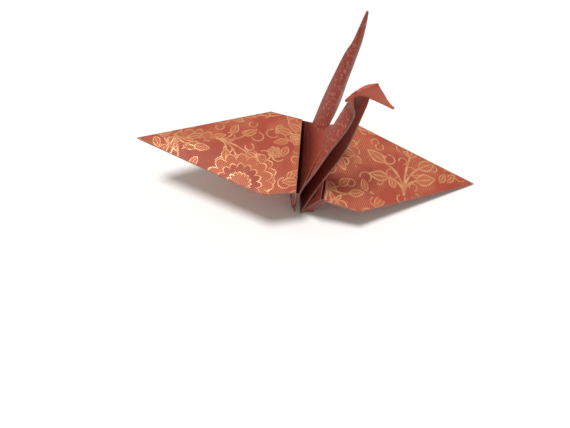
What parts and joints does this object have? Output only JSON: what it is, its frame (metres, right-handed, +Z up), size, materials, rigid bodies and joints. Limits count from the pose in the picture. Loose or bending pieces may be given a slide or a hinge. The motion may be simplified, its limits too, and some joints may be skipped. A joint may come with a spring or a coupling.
{
  "type": "origami crane",
  "caption": "Traditional paper crane folded from one square sheet, wings spread, neck and tail raised; small table or hanging ornament.",
  "frame": {"origin": "centre of the bounding box, at table level", "axes": "+Z up, the wings spread along X, the neck and beak towards -Y and the tail towards +Y, standing as it rests on the two lower corners of its flap on the +X side and the tip of the wing at +X"},
  "size_m": [0.1316, 0.0416, 0.0739],
  "materials": {
    "printed_paper": "embossed red paper with a sheen and a gold floral print"
  },
  "bodies": {
    "root": {"folded_crane": "printed_paper"}
  },
  "joints": []
}
